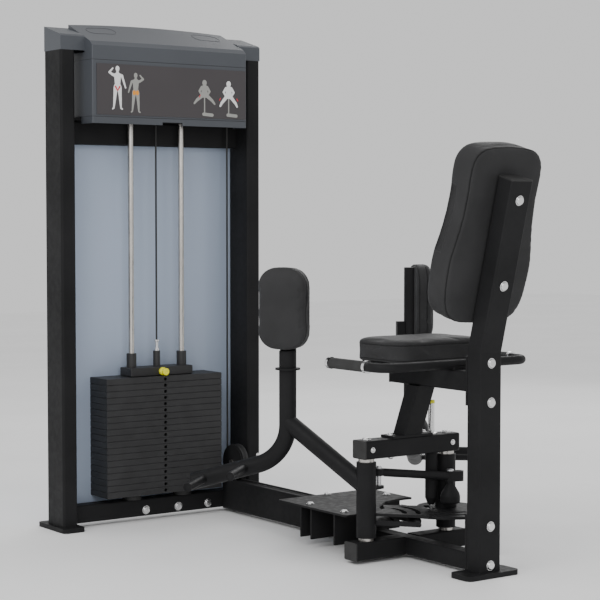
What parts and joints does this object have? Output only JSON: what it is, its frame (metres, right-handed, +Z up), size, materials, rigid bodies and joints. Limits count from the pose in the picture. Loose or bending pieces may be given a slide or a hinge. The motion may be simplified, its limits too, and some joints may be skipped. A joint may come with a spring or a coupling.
{
  "type": "seated hip adductor and abductor machine",
  "caption": "Selectorized leg machine: seat and backrest on a low frame, two swinging arms with thigh pads and foot pegs, cable-driven weight stack in a hooded tower.",
  "frame": {"origin": "on the floor, under the middle of the rear post foot plate hole line (post centre)", "axes": "+Z up; +Y the way the seated user faces, from the rear post to the weight tower; +X to the user's right"},
  "size_m": [1.2034, 1.5422, 1.6],
  "materials": {
    "frame_paint": "satin black powder coat",
    "hood_plastic": "fine-grained slate grey",
    "placard_film": "printed dark film",
    "vinyl": "dark grey grained vinyl",
    "plate_iron": "black coated",
    "rod_steel": "satin",
    "bolt_steel": "bright",
    "chrome": "polished",
    "rubber": "matt",
    "panel_plastic": "frosted blue-grey",
    "knob_yellow": "gloss",
    "pulley_nylon": "black nylon",
    "cable_jacket": "black jacket",
    "grip_foam": "matt foam"
  },
  "bodies": {
    "frame": {"rear_foot_plate": "frame_paint", "rear_post": "frame_paint", "post_flanges": "frame_paint", "end_plugs": "rubber", "rear_floor_beam": "frame_paint", "front_floor_beam": "frame_paint", "seat_beam": "frame_paint", "pivot_bases": "frame_paint", "pivot_crossbeam": "frame_paint", "seat_strut": "frame_paint", "pivot_shafts": "rod_steel", "cable_guide_plate": "frame_paint", "tower_feet": "frame_paint", "tower_uprights": "frame_paint", "tower_crossbeams": "frame_paint", "back_panel": "panel_plastic", "rod_top_plate": "frame_paint", "guide_rods": "rod_steel", "stack_bumpers": "rubber", "weight_plates": "plate_iron", "pulley_brackets": "frame_paint", "pulley_axles": "rod_steel", "top_hood": "hood_plastic", "placard": "placard_film", "seat_base": "frame_paint", "seat_pad": "vinyl", "backrest_pad": "vinyl", "backrest_plate": "frame_paint", "handle_bar": "frame_paint", "hand_grips": "grip_foam", "handle_rings": "chrome", "travel_pin_holder": "frame_paint", "cable": "cable_jacket", "bolts": "bolt_steel"},
    "left_arm": {"left_arm_hub": "frame_paint", "left_arm_tube": "frame_paint", "left_arm_brace": "frame_paint", "left_foot_pegs": "frame_paint", "left_sector_plate": "frame_paint", "cable_cam": "frame_paint"},
    "right_arm": {"right_arm_hub": "frame_paint", "right_arm_tube": "frame_paint", "right_arm_brace": "frame_paint", "right_foot_pegs": "frame_paint", "right_sector_plate": "frame_paint"},
    "left_pad": {"left_pad_post": "frame_paint", "left_thigh_pad": "vinyl"},
    "right_pad": {"right_pad_post": "frame_paint", "right_thigh_pad": "vinyl"},
    "weight_carriage": {"head_plate": "plate_iron", "head_bushes": "pulley_nylon", "selector_stem": "rod_steel", "cable_end_fitting": "chrome", "head_cable": "cable_jacket"},
    "selector_pin": {"selector_pin": "knob_yellow"},
    "travel_pin": {"travel_pin": "knob_yellow"},
    "link_rod": {"link_rod": "frame_paint"},
    "left_top_pulley": {"left_top_pulley": "pulley_nylon"},
    "right_top_pulley": {"right_top_pulley": "pulley_nylon"},
    "base_pulley": {"base_pulley": "pulley_nylon"}
  },
  "joints": [
    {"name": "left_arm_swing", "type": "hinge", "parent": "frame", "child": "left_arm", "pos_m": [-0.149, 0.336, 0.18], "axis": [0, 0, 1], "range_deg": [-36, 0]},
    {"name": "right_arm_swing", "type": "hinge", "parent": "frame", "child": "right_arm", "pos_m": [0.149, 0.336, 0.18], "axis": [0, 0, 1], "range_deg": [0, 36]},
    {"name": "weight_lift", "type": "slide", "parent": "frame", "child": "weight_carriage", "axis": [0, 0, 1], "range_m": [0, 0.0973], "deforming": ["head_cable"]},
    {"name": "left_pad_swivel", "type": "hinge", "parent": "left_arm", "child": "left_pad", "pos_m": [-0.236, 0.602, 0.6], "axis": [0, 0, 1], "range_deg": [-5, 185]},
    {"name": "right_pad_swivel", "type": "hinge", "parent": "right_arm", "child": "right_pad", "pos_m": [0.236, 0.602, 0.6], "axis": [0, 0, 1], "range_deg": [-185, 5]},
    {"name": "selector_pin_pull", "type": "slide", "parent": "weight_carriage", "child": "selector_pin", "axis": [0, -1, 0], "range_m": [0, 0.06]},
    {"name": "travel_pin_lift", "type": "slide", "parent": "frame", "child": "travel_pin", "axis": [0, 0, 1], "range_m": [0, 0.025], "stiffness_N_per_m": 400, "springref_m": -0.01},
    {"name": "link_rod_turn", "type": "hinge", "parent": "left_arm", "child": "link_rod", "pos_m": [-0.09224, 0.35015, 0.252], "axis": [0, 0, 1], "range_deg": [0, 45.2]},
    {"name": "left_top_pulley_turn", "type": "hinge", "parent": "frame", "child": "left_top_pulley", "pos_m": [-0.215, 1.296, 1.438], "axis": [0, 1, 0], "range_deg": [0, 102.8]},
    {"name": "right_top_pulley_turn", "type": "hinge", "parent": "frame", "child": "right_top_pulley", "pos_m": [-0.05, 1.296, 1.438], "axis": [0, 1, 0], "range_deg": [0, 102.8]},
    {"name": "base_pulley_turn", "type": "hinge", "parent": "frame", "child": "base_pulley", "pos_m": [0.005, 1.241, 0.169], "axis": [1, 0, 0], "range_deg": [-102.8, 0]}
  ],
  "couplings": [
    {"joint": "right_arm_swing", "follows": "left_arm_swing", "ratio": -1},
    {"joint": "weight_lift", "follows": "left_arm_swing", "m_per_rad": -0.154},
    {"joint": "link_rod_turn", "follows": "left_arm_swing", "ratio": -1.242},
    {"joint": "left_top_pulley_turn", "follows": "left_arm_swing", "ratio": -2.8},
    {"joint": "right_top_pulley_turn", "follows": "left_arm_swing", "ratio": -2.8},
    {"joint": "base_pulley_turn", "follows": "left_arm_swing", "ratio": 2.8}
  ]
}
